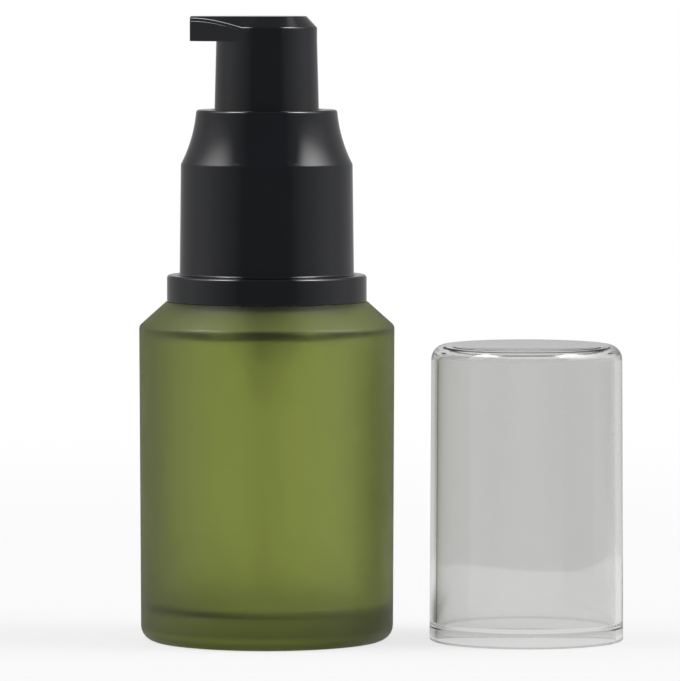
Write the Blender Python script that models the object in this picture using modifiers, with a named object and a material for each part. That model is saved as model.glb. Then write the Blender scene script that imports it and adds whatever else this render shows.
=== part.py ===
"""Glass pump bottle: a frosted green glass bottle with a black treatment pump, and its clear
overcap standing beside it. Metres, +Z up. The origin is the centre of the bottle's underside,
the spout points to -X and the overcap stands at +X. All pieces are at rest: pump up, closure tight.
"""

import math

import bmesh
import bpy
from mathutils import Matrix, Vector

MM = 0.001

# Clearances that several pieces share
SEAT_GAP = 0.2 * MM  # between a piece and what it rests on
PRESS_GAP = 0.15 * MM  # round a piece that is pushed into another
RUNNING_GAP = 0.2 * MM  # round a piece that slides or turns
OVERRUN = 1.0 * MM  # how far a cutter passes the face it cuts
WELD_DISTANCE = 0.001 * MM

# Glass bottle
SHOULDER_RADIUS = 18.5 * MM
BODY_DRAFT = 0.2 * MM  # the body is this much slimmer at its foot
SHOULDER_HEIGHT = 45.7 * MM
SHOULDER_RISE = 3.5 * MM
LAND_MARGIN = 0.12 * MM  # the flat land reaches this far past the base ring
HEEL_FILLET = 2.2 * MM
CREASE_FILLET = 0.9 * MM
BASE_THICKNESS = 4.5 * MM
WALL_THICKNESS = 2.5 * MM
CAVITY_HEEL_FILLET = 1.4 * MM
CAVITY_SHOULDER_DROP = 1.3 * MM
CAVITY_SHOULDER_FILLET = 0.8 * MM
CAVITY_ROOF_FILLET = 0.8 * MM
NECK_RADIUS = 9.0 * MM
NECK_HEIGHT = 12.8 * MM
NECK_BORE_RADIUS = 6.5 * MM
NECK_ROOT_THICKNESS = 1.7 * MM
NECK_ROOT_FILLET = 1.5 * MM
LIP_FILLET = 0.45 * MM

# Neck thread, one start and right handed, as on a 20-410 finish
THREAD_PITCH = 3.175 * MM
THREAD_DEPTH = 0.8 * MM
THREAD_CLEARANCE = 0.3 * MM
THREAD_TOP_DEPTH = 3.4 * MM  # from the lip down to the thread's upper end
THREAD_TURNS = 1.5
THREAD_FADE_SHARE = 0.1  # of the thread's length, at each end
THREAD_END_SHARE = 0.3  # of its depth, at the very end

# Screw closure, hidden under the shroud
CLOSURE_WALL = 1.05 * MM
CLOSURE_LAND_GAP = 0.45 * MM
CLOSURE_FOOT_FLANGE = 1.45 * MM
CLOSURE_FOOT_THICKNESS = 0.8 * MM
CLOSURE_DECK = 1.2 * MM
CLOSURE_FILLET = 0.4 * MM

# Base ring round the closure's foot
RING_LAND_GAP = 0.3 * MM
RING_HEIGHT = 3.6 * MM
RING_LEDGE = 0.4 * MM  # the ring stands this far past the overcap that sits on it
RING_TOP_FILLET = 0.45 * MM
RING_FOOT_FILLET = 0.2 * MM

# Shroud, the tapered outer sleeve
SHROUD_WALL = 1.1 * MM
SHROUD_FIT = 0.19 * MM
SHROUD_DRAFT = 0.19 * MM
SHROUD_SKIRT = 15.8 * MM
SHROUD_SHOULDER = 7.9 * MM
SHROUD_TOP_RADIUS = 10.24 * MM
SHROUD_DECK = 1.2 * MM
SHROUD_TOP_FILLET = 0.4 * MM
FLARE_RADIUS = 20.4 * MM

# Actuator, the press head with its spout
HEAD_FOOT_RADIUS = 7.6 * MM
HEAD_RADIUS = 7.3 * MM
HEAD_HEIGHT = 15.2 * MM
HEAD_OVERLAP = 1.7 * MM  # how far the head reaches into the shroud at rest
HEAD_CLEARANCE = 0.4 * MM
HEAD_WALL = 1.0 * MM
HEAD_TOP_THICKNESS = 1.0 * MM
HEAD_CAVITY_CHAMFER = 0.9 * MM
CHAMFER_HEIGHT = 1.65 * MM
CHAMFER_INSET = 1.55 * MM
PARTING_STEP = 0.02 * MM
SPOUT_REACH = 11.08 * MM
SPOUT_HEIGHT = 3.6 * MM
SPOUT_TIP_WIDTH = 5.0 * MM
SPOUT_EDGE = 0.25 * MM
SPOUT_FLOOR = 0.7 * MM
SPOUT_SIDE_WALL = 0.7 * MM

# Insert of the actuator: stem socket, web and duct, and the nozzle at the duct's end
SOCKET_WALL = 1.0 * MM
SOCKET_FOOT_RISE = 0.5 * MM  # the socket ends this far above the head's lower edge
WEB_THICKNESS = 1.0 * MM
WEB_SPOUT_GAP = 0.2 * MM  # the web's top lies this far under the spout's underside
SKIRT_THICKNESS = 0.8 * MM
SKIRT_LENGTH = 6.0 * MM
BOSS_RADIUS = 2.4 * MM
DUCT_WALL = 0.4 * MM
RISER_RADIUS = 0.9 * MM
NOZZLE_LENGTH = 4.0 * MM
NOZZLE_RECESS = 0.3 * MM

# Neck gasket and pump housing
GASKET_THICKNESS = 0.6 * MM
HOUSING_FLANGE_THICKNESS = 1.0 * MM
HOUSING_NECK_GAP = 0.6 * MM
HOUSING_WALL = 0.9 * MM
BORE_STEP = 1.4 * MM
BARREL_SHOULDER = 1.2 * MM
VENT_RADIUS = 0.45 * MM
VENT_DEPTH = 2.0 * MM  # below the flange

# Lock ring, which closes the housing and guides the stem
LOCK_FLANGE_WIDTH = 1.0 * MM
LOCK_FLANGE_THICKNESS = 0.9 * MM
LOCK_PLUG_DEPTH = 3.8 * MM
TURRET_WALL = 1.8 * MM
TURRET_HEIGHT = 1.5 * MM
TURRET_FILLET = 0.3 * MM

# Stem, piston rod and piston
STEM_RADIUS = 2.2 * MM
ROD_RADIUS = 1.35 * MM
ROD_INSERT = 3.5 * MM  # the rod's length inside the stem
ROD_TIP_CHAMFER = 0.3 * MM
POPPET_CLEARANCE = 0.4 * MM
POPPET_THICKNESS = 1.0 * MM
POPPET_CONE = 0.2 * MM
PILOT_LENGTH = 1.0 * MM
PILOT_CHAMFER = 0.3 * MM
PISTON_HEIGHT = 2.8 * MM
PISTON_HUB_WALL = 0.65 * MM
PISTON_WEB = 0.8 * MM
PISTON_LIP_WALL = 0.5 * MM
PISTON_LIP_FLARE = 0.1 * MM
VALVE_SLIP = 0.5 * MM  # the piston's own travel on the rod

# Return spring
WIRE_RADIUS = 0.25 * MM
SPRING_CLEARANCE = 0.5 * MM
SPRING_LENGTH = 10.5 * MM
SPRING_TURNS = 7.0
SPRING_END_TURNS = 1.0
END_TURN_GAP = 0.45 * MM

# Inlet valve, tail and dip tube
BALL_RADIUS = 1.5 * MM
BALL_LIFT = 0.8 * MM
INLET_RADIUS = 0.9 * MM
RETAINER_BITE = 0.2 * MM
RETAINER_THICKNESS = 0.4 * MM
INLET_LAND = 1.0 * MM
TUBE_RADIUS = 1.8 * MM
TUBE_WALL = 0.5 * MM
TUBE_SOCKET_DEPTH = 5.0 * MM
TUBE_FLOOR_GAP = 1.2 * MM
TAIL_WALL = 0.8 * MM
TUBE_CUT_ANGLE = math.radians(40)

# Overcap
CAP_FIT = 0.42 * MM
CAP_WALL = 1.02 * MM
CAP_TOP_THICKNESS = 1.3 * MM
CAP_DRAFT = 0.23 * MM
CAP_HEADROOM = 4.3 * MM
CAP_EDGE_FILLET = 2.4 * MM
CAP_INNER_FILLET = 1.4 * MM
CAP_RIM_FILLET = 0.3 * MM
CAP_BEAD_HEIGHT = 2.2 * MM
CAP_BEAD_DEPTH = 0.25 * MM
CAP_BEAD_HALF_WIDTH = 0.6 * MM
CAP_STANDOFF = 5.1 * MM  # clear space between the bottle and the overcap beside it

# Facet counts
BODY_SEGMENTS = 36
INNER_SEGMENTS = 20
FILLET_STEP = math.radians(30)
FLARE_STEPS = 5
INNER_FLARE_STEPS = 3
THREAD_POINTS_PER_TURN = 20
SPRING_POINTS_PER_TURN = 9
SMOOTH_ANGLE = math.radians(35)

# Radii that follow from the neck outwards
thread_root_radius = NECK_RADIUS + THREAD_DEPTH + THREAD_CLEARANCE
closure_radius = thread_root_radius + CLOSURE_WALL
closure_foot_radius = closure_radius + CLOSURE_FOOT_FLANGE
shroud_waist_radius = closure_radius + SHROUD_FIT + SHROUD_WALL
shroud_foot_radius = shroud_waist_radius + SHROUD_DRAFT
shroud_hole_radius = HEAD_FOOT_RADIUS + HEAD_CLEARANCE
cap_inner_radius = shroud_foot_radius + CAP_FIT
cap_radius = cap_inner_radius + CAP_WALL
ring_radius = cap_radius + RING_LEDGE
land_radius = ring_radius + LAND_MARGIN
foot_radius = SHOULDER_RADIUS - BODY_DRAFT

# Radii that follow from the neck bore inwards
barrel_radius = NECK_BORE_RADIUS - HOUSING_NECK_GAP
barrel_bore_radius = barrel_radius - HOUSING_WALL
lock_plug_radius = barrel_bore_radius - PRESS_GAP
pump_bore_radius = barrel_bore_radius - BORE_STEP
lock_flange_radius = barrel_radius + LOCK_FLANGE_WIDTH
lock_bore_radius = STEM_RADIUS + RUNNING_GAP
deck_hole_radius = lock_flange_radius + RUNNING_GAP
poppet_radius = pump_bore_radius - POPPET_CLEARANCE
spring_radius = pump_bore_radius - SPRING_CLEARANCE - WIRE_RADIUS
pilot_radius = spring_radius - WIRE_RADIUS - RUNNING_GAP
stem_bore_radius = ROD_RADIUS + PRESS_GAP
ball_chamber_radius = BALL_RADIUS + RUNNING_GAP
retainer_radius = BALL_RADIUS - RETAINER_BITE
tube_socket_radius = TUBE_RADIUS + PRESS_GAP

# Heights, all above the underside of the bottle
land_z = SHOULDER_HEIGHT + SHOULDER_RISE
lip_z = land_z + NECK_HEIGHT
ring_z = land_z + RING_LAND_GAP
shroud_z = ring_z + RING_HEIGHT + SEAT_GAP
shroud_top_z = shroud_z + SHROUD_SKIRT + SHROUD_SHOULDER
closure_z = land_z + CLOSURE_LAND_GAP
gasket_z = lip_z + SEAT_GAP
housing_z = gasket_z + GASKET_THICKNESS + SEAT_GAP
flange_top_z = housing_z + HOUSING_FLANGE_THICKNESS
lock_z = flange_top_z + SEAT_GAP
plug_bottom_z = lock_z - LOCK_PLUG_DEPTH
piston_z = plug_bottom_z - SEAT_GAP - VALVE_SLIP - PISTON_HEIGHT
poppet_z = piston_z - SEAT_GAP
spring_z = poppet_z - POPPET_THICKNESS - SEAT_GAP - SPRING_LENGTH
bore_floor_z = spring_z - SEAT_GAP
retainer_z = bore_floor_z - RETAINER_THICKNESS
retainer_contact = math.sqrt(BALL_RADIUS**2 - retainer_radius**2)
ball_z = retainer_z - retainer_contact - SEAT_GAP - BALL_LIFT
seat_apex_z = ball_z - (BALL_RADIUS + SEAT_GAP) * math.sqrt(2)
seat_z = seat_apex_z + INLET_RADIUS
tube_top_z = seat_z - INLET_LAND
tail_z = tube_top_z - TUBE_SOCKET_DEPTH
head_z = shroud_top_z - HEAD_OVERLAP
head_top_z = head_z + HEAD_HEIGHT
cap_height = head_top_z - ring_z - RING_HEIGHT + CAP_HEADROOM + CAP_TOP_THICKNESS
cap_x = SHOULDER_RADIUS + CAP_STANDOFF + cap_radius

# Heights inside the head, above its lower edge
spout_underside = HEAD_HEIGHT - SPOUT_HEIGHT
slot_floor = spout_underside + SPOUT_FLOOR
cavity_top = HEAD_HEIGHT - HEAD_TOP_THICKNESS
web_top = spout_underside - WEB_SPOUT_GAP
web_underside = web_top - WEB_THICKNESS
slot_width = SPOUT_TIP_WIDTH - 2 * SPOUT_SIDE_WALL
duct_floor = slot_floor + SEAT_GAP
duct_top = cavity_top - SEAT_GAP
duct_width = slot_width - 2 * SEAT_GAP
nozzle_outer_x = NOZZLE_RECESS - SPOUT_REACH
nozzle_inner_x = nozzle_outer_x + NOZZLE_LENGTH
stem_top_z = head_z + web_underside - SEAT_GAP


def clear_scene():
    for obj in list(bpy.data.objects):
        bpy.data.objects.remove(obj)


def make_material(name, colour, roughness, metallic=0.0, transmission=0.0):
    """A Principled BSDF with one colour."""
    material = bpy.data.materials.new(name)
    material.use_nodes = True
    shader = material.node_tree.nodes["Principled BSDF"]
    shader.inputs["Base Color"].default_value = (*colour, 1.0)
    shader.inputs["Roughness"].default_value = roughness
    shader.inputs["Metallic"].default_value = metallic
    shader.inputs["Transmission Weight"].default_value = transmission
    return material


def rounded(corners):
    """The outline through (radius, height, fillet) corners, with each fillet as a tangent arc."""
    points = []
    for index, (radius, height, fillet) in enumerate(corners):
        corner = Vector((radius, height))
        if not fillet:
            points.append(corner)
            continue
        before = (Vector(corners[index - 1][:2]) - corner).normalized()
        after = (Vector(corners[(index + 1) % len(corners)][:2]) - corner).normalized()
        half_angle = before.angle(after) / 2
        tangent = fillet / math.tan(half_angle)
        centre = corner + (before + after).normalized() * (fillet / math.sin(half_angle))
        start = corner + before * tangent - centre
        end = corner + after * tangent - centre
        turn = start.angle_signed(end)
        steps = max(1, round(abs(turn) / FILLET_STEP))
        for step in range(steps + 1):
            points.append(centre + Matrix.Rotation(-turn * step / steps, 2) @ start)
    return points


def flare(top, foot, radius, steps):
    """Points of a hollow arc from top down to foot, both (radius, height), without its two ends."""
    top, foot = Vector(top), Vector(foot)
    chord = foot - top
    outward = Vector((-chord.y, chord.x)).normalized()
    rise = math.sqrt(radius**2 - (chord.length / 2) ** 2)
    centre = (top + foot) / 2 + outward * rise
    start, end = top - centre, foot - centre
    turn = start.angle_signed(end)
    return [centre + Matrix.Rotation(-turn * i / steps, 2) @ start for i in range(1, steps)]


def mesh_object(name, mesh):
    obj = bpy.data.objects.new(name, mesh)
    parts.objects.link(obj)
    return obj


def settle(obj):
    """Gives the object its evaluated mesh, shaded smooth between the sharp edges."""
    graph = bpy.context.evaluated_depsgraph_get()
    mesh = bpy.data.meshes.new_from_object(obj.evaluated_get(graph))
    mesh.shade_smooth()
    mesh.set_sharp_from_angle(angle=SMOOTH_ANGLE)
    obj.modifiers.clear()
    obj.data = mesh
    mesh.name = obj.name
    return obj


def turned(name, points, segments, closed=True):
    """A body turned about Z from an outline at +X that runs down its outer side."""
    mesh = bpy.data.meshes.new(name)
    edges = [(i, i + 1) for i in range(len(points) - 1)]
    if closed:
        edges.append((len(points) - 1, 0))
    mesh.from_pydata([(radius, 0, height) for radius, height in points], edges, [])
    obj = mesh_object(name, mesh)
    screw = obj.modifiers.new("turn", "SCREW")
    screw.axis = "Z"
    screw.angle = 2 * math.pi
    screw.steps = screw.render_steps = segments
    screw.use_merge_vertices = True
    screw.merge_threshold = WELD_DISTANCE
    return settle(obj)


def box(name, lower, upper):
    """A box between two opposite corners."""
    mesh = bpy.data.meshes.new(name)
    work = bmesh.new()
    bmesh.ops.create_cube(work, size=1.0)
    size = Vector(upper) - Vector(lower)
    middle = (Vector(upper) + Vector(lower)) / 2
    bmesh.ops.scale(work, vec=size, verts=work.verts)
    bmesh.ops.translate(work, vec=middle, verts=work.verts)
    work.to_mesh(mesh)
    work.free()
    return mesh_object(name, mesh)


def cylinder(name, radius, lower, upper, segments, direction="Z"):
    """A cylinder about Z, or about X, from lower to upper on that axis."""
    mesh = bpy.data.meshes.new(name)
    work = bmesh.new()
    bmesh.ops.create_cone(
        work, cap_ends=True, segments=segments, radius1=radius, radius2=radius, depth=upper - lower
    )
    bmesh.ops.translate(work, vec=(0, 0, (upper + lower) / 2), verts=work.verts)
    if direction == "X":
        quarter = Matrix.Rotation(math.pi / 2, 3, "Y")
        bmesh.ops.rotate(work, cent=(0, 0, 0), matrix=quarter, verts=work.verts)
    work.to_mesh(mesh)
    work.free()
    return mesh_object(name, mesh)


def wire(name, points, radius, resolution, thickness_shares=None):
    """A round wire of that radius along the points, with flat ends, as a closed mesh."""
    data = bpy.data.curves.new(name, "CURVE")
    data.dimensions = "3D"
    data.bevel_depth = radius
    data.bevel_resolution = resolution
    data.use_fill_caps = True
    spline = data.splines.new("POLY")
    spline.points.add(len(points) - 1)
    for place, point in zip(spline.points, points):
        place.co = (*point, 1)
    if thickness_shares:
        spline.points.foreach_set("radius", thickness_shares)
    guide = mesh_object(name + "_guide", data)
    graph = bpy.context.evaluated_depsgraph_get()
    mesh = bpy.data.meshes.new_from_object(guide.evaluated_get(graph))
    bpy.data.objects.remove(guide)
    work = bmesh.new()
    work.from_mesh(mesh)
    bmesh.ops.remove_doubles(work, verts=work.verts, dist=WELD_DISTANCE)
    bmesh.ops.recalc_face_normals(work, faces=work.faces)
    work.to_mesh(mesh)
    work.free()
    return mesh_object(name, mesh)


def boolean(obj, other, operation):
    """Cuts other from obj or joins it on, and removes other."""
    modifier = obj.modifiers.new(operation.lower(), "BOOLEAN")
    modifier.operation = operation
    modifier.object = other
    other.hide_render = True
    other.display_type = "WIRE"
    settle(obj)
    bpy.data.objects.remove(other)
    return obj


def thread_ridge(name, radius, bottom_z):
    """The rounded helical ridge of a thread on a wall of that radius, thinner towards its ends."""
    count = round(THREAD_TURNS * THREAD_POINTS_PER_TURN)
    points = []
    thickness_shares = []
    for i in range(count + 1):
        share = i / count
        angle = 2 * math.pi * THREAD_TURNS * share
        height = bottom_z + THREAD_PITCH * THREAD_TURNS * share
        points.append((radius * math.cos(angle), radius * math.sin(angle), height))
        fade = min(1, min(share, 1 - share) / THREAD_FADE_SHARE)
        thickness_shares.append(THREAD_END_SHARE + (1 - THREAD_END_SHARE) * fade)
    return wire(name, points, THREAD_DEPTH, 2, thickness_shares)


def make_bottle():
    """The bottle, whose inner shoulder runs parallel to the outer one."""
    cavity_foot_radius = foot_radius - WALL_THICKNESS
    cavity_radius = SHOULDER_RADIUS - WALL_THICKNESS
    cavity_shoulder_z = SHOULDER_HEIGHT - CAVITY_SHOULDER_DROP
    cavity_roof_z = land_z - NECK_ROOT_THICKNESS
    shoulder_slope = SHOULDER_RISE / (SHOULDER_RADIUS - land_radius)
    roof_radius = cavity_radius - (cavity_roof_z - cavity_shoulder_z) / shoulder_slope
    outline = rounded(
        [
            (0, BASE_THICKNESS, 0),
            (cavity_foot_radius, BASE_THICKNESS, CAVITY_HEEL_FILLET),
            (cavity_radius, cavity_shoulder_z, CAVITY_SHOULDER_FILLET),
            (roof_radius, cavity_roof_z, CAVITY_ROOF_FILLET),
            (NECK_BORE_RADIUS, cavity_roof_z, NECK_ROOT_FILLET),
            (NECK_BORE_RADIUS, lip_z, LIP_FILLET),
            (NECK_RADIUS, lip_z, LIP_FILLET),
            (NECK_RADIUS, land_z, 0),
            (land_radius, land_z, 0),
            (SHOULDER_RADIUS, SHOULDER_HEIGHT, CREASE_FILLET),
            (foot_radius, 0, HEEL_FILLET),
            (0, 0, 0),
        ]
    )
    bottle = turned("bottle", outline, BODY_SEGMENTS, closed=False)
    bottom_z = lip_z - THREAD_TOP_DEPTH - THREAD_PITCH * THREAD_TURNS
    return boolean(bottle, thread_ridge("neck_thread", NECK_RADIUS, bottom_z), "UNION")


def make_screw_closure():
    deck_underside = flange_top_z + SEAT_GAP - closure_z
    deck_top = deck_underside + CLOSURE_DECK
    outline = rounded(
        [
            (deck_hole_radius, deck_top, 0),
            (closure_radius, deck_top, CLOSURE_FILLET),
            (closure_radius, CLOSURE_FOOT_THICKNESS, 0),
            (closure_foot_radius, CLOSURE_FOOT_THICKNESS, 0),
            (closure_foot_radius, 0, 0),
            (thread_root_radius, 0, 0),
            (thread_root_radius, deck_underside, 0),
            (deck_hole_radius, deck_underside, 0),
        ]
    )
    closure = turned("screw_closure", outline, BODY_SEGMENTS)
    neck_bottom_z = lip_z - THREAD_TOP_DEPTH - THREAD_PITCH * THREAD_TURNS
    bottom = neck_bottom_z - THREAD_PITCH / 2 - closure_z
    ridge = thread_ridge("closure_thread", thread_root_radius, bottom)
    return boolean(closure, ridge, "UNION")


def make_base_ring():
    rebate_radius = closure_foot_radius + SEAT_GAP
    rebate_height = closure_z + CLOSURE_FOOT_THICKNESS + SEAT_GAP - ring_z
    bore_radius = closure_radius + SEAT_GAP
    outline = rounded(
        [
            (bore_radius, RING_HEIGHT, 0),
            (ring_radius, RING_HEIGHT, RING_TOP_FILLET),
            (ring_radius, 0, RING_FOOT_FILLET),
            (rebate_radius, 0, 0),
            (rebate_radius, rebate_height, 0),
            (bore_radius, rebate_height, 0),
        ]
    )
    return turned("base_ring", outline, BODY_SEGMENTS)


def make_shroud():
    top = SHROUD_SKIRT + SHROUD_SHOULDER
    inner_top = (SHROUD_TOP_RADIUS - SHROUD_WALL, top - SHROUD_DECK)
    inner_waist = (shroud_waist_radius - SHROUD_WALL, SHROUD_SKIRT)
    outer_top = (SHROUD_TOP_RADIUS, top - SHROUD_TOP_FILLET)
    outer_waist = (shroud_waist_radius, SHROUD_SKIRT)
    edge = rounded(
        [
            (shroud_hole_radius, top, 0),
            (SHROUD_TOP_RADIUS, top, SHROUD_TOP_FILLET),
            (SHROUD_TOP_RADIUS, top - SHROUD_DECK, 0),
        ]
    )[:-1]
    outline = [
        *edge,
        *flare(outer_top, outer_waist, FLARE_RADIUS, FLARE_STEPS),
        outer_waist,
        (shroud_foot_radius, 0),
        (shroud_foot_radius - SHROUD_WALL, 0),
        inner_waist,
        *reversed(flare(inner_top, inner_waist, FLARE_RADIUS, INNER_FLARE_STEPS)),
        inner_top,
        (shroud_hole_radius, top - SHROUD_DECK),
    ]
    return turned("shroud", outline, BODY_SEGMENTS)


def make_overcap():
    ceiling = cap_height - CAP_TOP_THICKNESS
    bead_radius = cap_inner_radius - CAP_BEAD_DEPTH
    outline = rounded(
        [
            (0, cap_height, 0),
            (cap_radius - CAP_DRAFT, cap_height, CAP_EDGE_FILLET),
            (cap_radius, 0, CAP_RIM_FILLET),
            (cap_inner_radius, 0, CAP_RIM_FILLET),
            (cap_inner_radius, CAP_BEAD_HEIGHT - CAP_BEAD_HALF_WIDTH, 0),
            (bead_radius, CAP_BEAD_HEIGHT, 0),
            (cap_inner_radius, CAP_BEAD_HEIGHT + CAP_BEAD_HALF_WIDTH, 0),
            (cap_inner_radius - CAP_DRAFT, ceiling, CAP_INNER_FILLET),
            (0, ceiling, 0),
        ]
    )
    return turned("overcap", outline, BODY_SEGMENTS, closed=False)


def circle(radius, height):
    """The places round a circle, for the head's hull."""
    angles = [2 * math.pi * i / BODY_SEGMENTS for i in range(BODY_SEGMENTS)]
    return [(radius * math.cos(a), radius * math.sin(a), height) for a in angles]


def spout_hull():
    """The head's chamfered top drawn out to the spout's tip, as the hull of two discs and the tip."""
    half_width = SPOUT_TIP_WIDTH / 2
    chamfer_z = HEAD_HEIGHT - CHAMFER_HEIGHT
    points = circle(HEAD_RADIUS, spout_underside) + circle(HEAD_RADIUS, chamfer_z)
    points += circle(HEAD_RADIUS - CHAMFER_INSET, HEAD_HEIGHT)
    for side in (-1, 1):
        points.append((-SPOUT_REACH, side * half_width, spout_underside))
        points.append((-SPOUT_REACH, side * half_width, HEAD_HEIGHT - SPOUT_EDGE))
        points.append((-SPOUT_REACH, side * (half_width - SPOUT_EDGE), HEAD_HEIGHT))
    mesh = bpy.data.meshes.new("spout_hull")
    work = bmesh.new()
    for point in points:
        work.verts.new(point)
    made = bmesh.ops.convex_hull(work, input=work.verts)
    spare = {v for v in made["geom_interior"] + made["geom_unused"] if isinstance(v, bmesh.types.BMVert)}
    bmesh.ops.delete(work, geom=list(spare), context="VERTS")
    work.to_mesh(mesh)
    work.free()
    return mesh_object("spout_hull", mesh)


def make_actuator_shell():
    neck_radius = HEAD_RADIUS - PARTING_STEP
    skirt = [
        (0, slot_floor),
        (neck_radius, slot_floor),
        (neck_radius, spout_underside),
        (HEAD_FOOT_RADIUS, 0),
        (0, 0),
    ]
    shell = turned("actuator_shell", skirt, BODY_SEGMENTS, closed=False)
    boolean(shell, spout_hull(), "UNION")
    cavity_radius = HEAD_RADIUS - HEAD_WALL
    chamfer = HEAD_CAVITY_CHAMFER
    cavity = [
        (0, cavity_top),
        (cavity_radius - chamfer, cavity_top),
        (cavity_radius, cavity_top - chamfer),
        (HEAD_FOOT_RADIUS - HEAD_WALL, 0),
        (HEAD_FOOT_RADIUS - HEAD_WALL, -OVERRUN),
        (0, -OVERRUN),
    ]
    boolean(shell, turned("head_cavity", cavity, BODY_SEGMENTS, closed=False), "DIFFERENCE")
    slot = box(
        "spout_slot",
        (-SPOUT_REACH - OVERRUN, -slot_width / 2, slot_floor),
        (0, slot_width / 2, cavity_top),
    )
    return boolean(shell, slot, "DIFFERENCE")


def make_actuator_core():
    """The insert that grips the stem and leads the product to the nozzle. Heights as in the head."""
    socket_radius = STEM_RADIUS + PRESS_GAP
    slope = (HEAD_FOOT_RADIUS - HEAD_RADIUS) / (cavity_top - HEAD_CAVITY_CHAMFER)
    skirt_radius = HEAD_FOOT_RADIUS - HEAD_WALL - slope * web_top - PRESS_GAP
    outline = [
        (0, duct_top),
        (BOSS_RADIUS, duct_top),
        (BOSS_RADIUS, web_top),
        (skirt_radius, web_top),
        (skirt_radius, web_top - SKIRT_LENGTH),
        (skirt_radius - SKIRT_THICKNESS, web_top - SKIRT_LENGTH),
        (skirt_radius - SKIRT_THICKNESS, web_underside),
        (socket_radius + SOCKET_WALL, web_underside),
        (socket_radius + SOCKET_WALL, SOCKET_FOOT_RISE),
        (socket_radius, SOCKET_FOOT_RISE),
        (socket_radius, web_underside),
        (0, web_underside),
    ]
    core = turned("actuator_core", outline, INNER_SEGMENTS, closed=False)
    duct_end = nozzle_inner_x + SEAT_GAP
    half_width = duct_width / 2
    duct = box("duct", (duct_end, -half_width, duct_floor), (0, half_width, duct_top))
    boolean(core, duct, "UNION")
    bore_half = half_width - DUCT_WALL
    bore = box(
        "duct_bore",
        (duct_end - OVERRUN, -bore_half, duct_floor + DUCT_WALL),
        (RISER_RADIUS, bore_half, duct_top - DUCT_WALL),
    )
    boolean(core, bore, "DIFFERENCE")
    riser_top = (duct_floor + duct_top) / 2
    riser = cylinder("riser", RISER_RADIUS, web_underside - OVERRUN, riser_top, INNER_SEGMENTS)
    return boolean(core, riser, "DIFFERENCE")


def make_nozzle_insert():
    """The mouthpiece in the spout's tip. Places as in the head."""
    half_width = duct_width / 2
    nozzle = box(
        "nozzle_insert",
        (nozzle_outer_x, -half_width, duct_floor),
        (nozzle_inner_x, half_width, duct_top),
    )
    bore_half = half_width - DUCT_WALL
    bore = box(
        "nozzle_bore",
        (nozzle_outer_x - OVERRUN, -bore_half, duct_floor + DUCT_WALL),
        (nozzle_inner_x + OVERRUN, bore_half, duct_top - DUCT_WALL),
    )
    return boolean(nozzle, bore, "DIFFERENCE")


def make_neck_gasket():
    outline = [
        (NECK_BORE_RADIUS, GASKET_THICKNESS),
        (NECK_RADIUS, GASKET_THICKNESS),
        (NECK_RADIUS, 0),
        (NECK_BORE_RADIUS, 0),
    ]
    return turned("neck_gasket", outline, INNER_SEGMENTS)


def make_pump_housing():
    """Barrel, pump bore, ball chamber and tail in one. Heights are above the flange's underside."""
    step = plug_bottom_z - SEAT_GAP - housing_z
    bore_floor = bore_floor_z - housing_z
    chamber_top = retainer_z - housing_z
    seat = seat_z - housing_z
    chamber_floor = seat + ball_chamber_radius - INLET_RADIUS
    tube_top = tube_top_z - housing_z
    tail = tail_z - housing_z
    tail_radius = tube_socket_radius + TAIL_WALL
    lower_radius = pump_bore_radius + HOUSING_WALL
    outline = [
        (barrel_bore_radius, HOUSING_FLANGE_THICKNESS),
        (NECK_RADIUS, HOUSING_FLANGE_THICKNESS),
        (NECK_RADIUS, 0),
        (barrel_radius, 0),
        (barrel_radius, step - HOUSING_WALL),
        (lower_radius, step - HOUSING_WALL - BARREL_SHOULDER),
        (lower_radius, chamber_floor),
        (tail_radius, chamber_floor - BARREL_SHOULDER),
        (tail_radius, tail),
        (tube_socket_radius, tail),
        (tube_socket_radius, tube_top),
        (INLET_RADIUS, tube_top),
        (INLET_RADIUS, seat),
        (ball_chamber_radius, chamber_floor),
        (ball_chamber_radius, chamber_top),
        (retainer_radius, chamber_top),
        (retainer_radius, bore_floor),
        (pump_bore_radius, bore_floor),
        (pump_bore_radius, step),
        (barrel_bore_radius, step),
    ]
    housing = turned("pump_housing", outline, INNER_SEGMENTS)
    vent = cylinder("vent", VENT_RADIUS, 0, barrel_radius + OVERRUN, INNER_SEGMENTS // 2, "X")
    vent.location.z = -VENT_DEPTH
    return boolean(housing, vent, "DIFFERENCE")


def make_lock_ring():
    """Heights are above the flange's underside."""
    turret_radius = lock_bore_radius + TURRET_WALL
    top = LOCK_FLANGE_THICKNESS + TURRET_HEIGHT
    outline = rounded(
        [
            (lock_bore_radius, top, 0),
            (turret_radius, top, TURRET_FILLET),
            (turret_radius, LOCK_FLANGE_THICKNESS, 0),
            (lock_flange_radius, LOCK_FLANGE_THICKNESS, 0),
            (lock_flange_radius, 0, 0),
            (lock_plug_radius, 0, 0),
            (lock_plug_radius, -LOCK_PLUG_DEPTH, 0),
            (lock_bore_radius, -LOCK_PLUG_DEPTH, 0),
        ]
    )
    return turned("lock_ring", outline, INNER_SEGMENTS)


def make_stem():
    length = stem_top_z - plug_bottom_z
    outline = [
        (stem_bore_radius, length),
        (STEM_RADIUS, length),
        (STEM_RADIUS, 0),
        (stem_bore_radius, 0),
    ]
    return turned("stem", outline, INNER_SEGMENTS)


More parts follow.
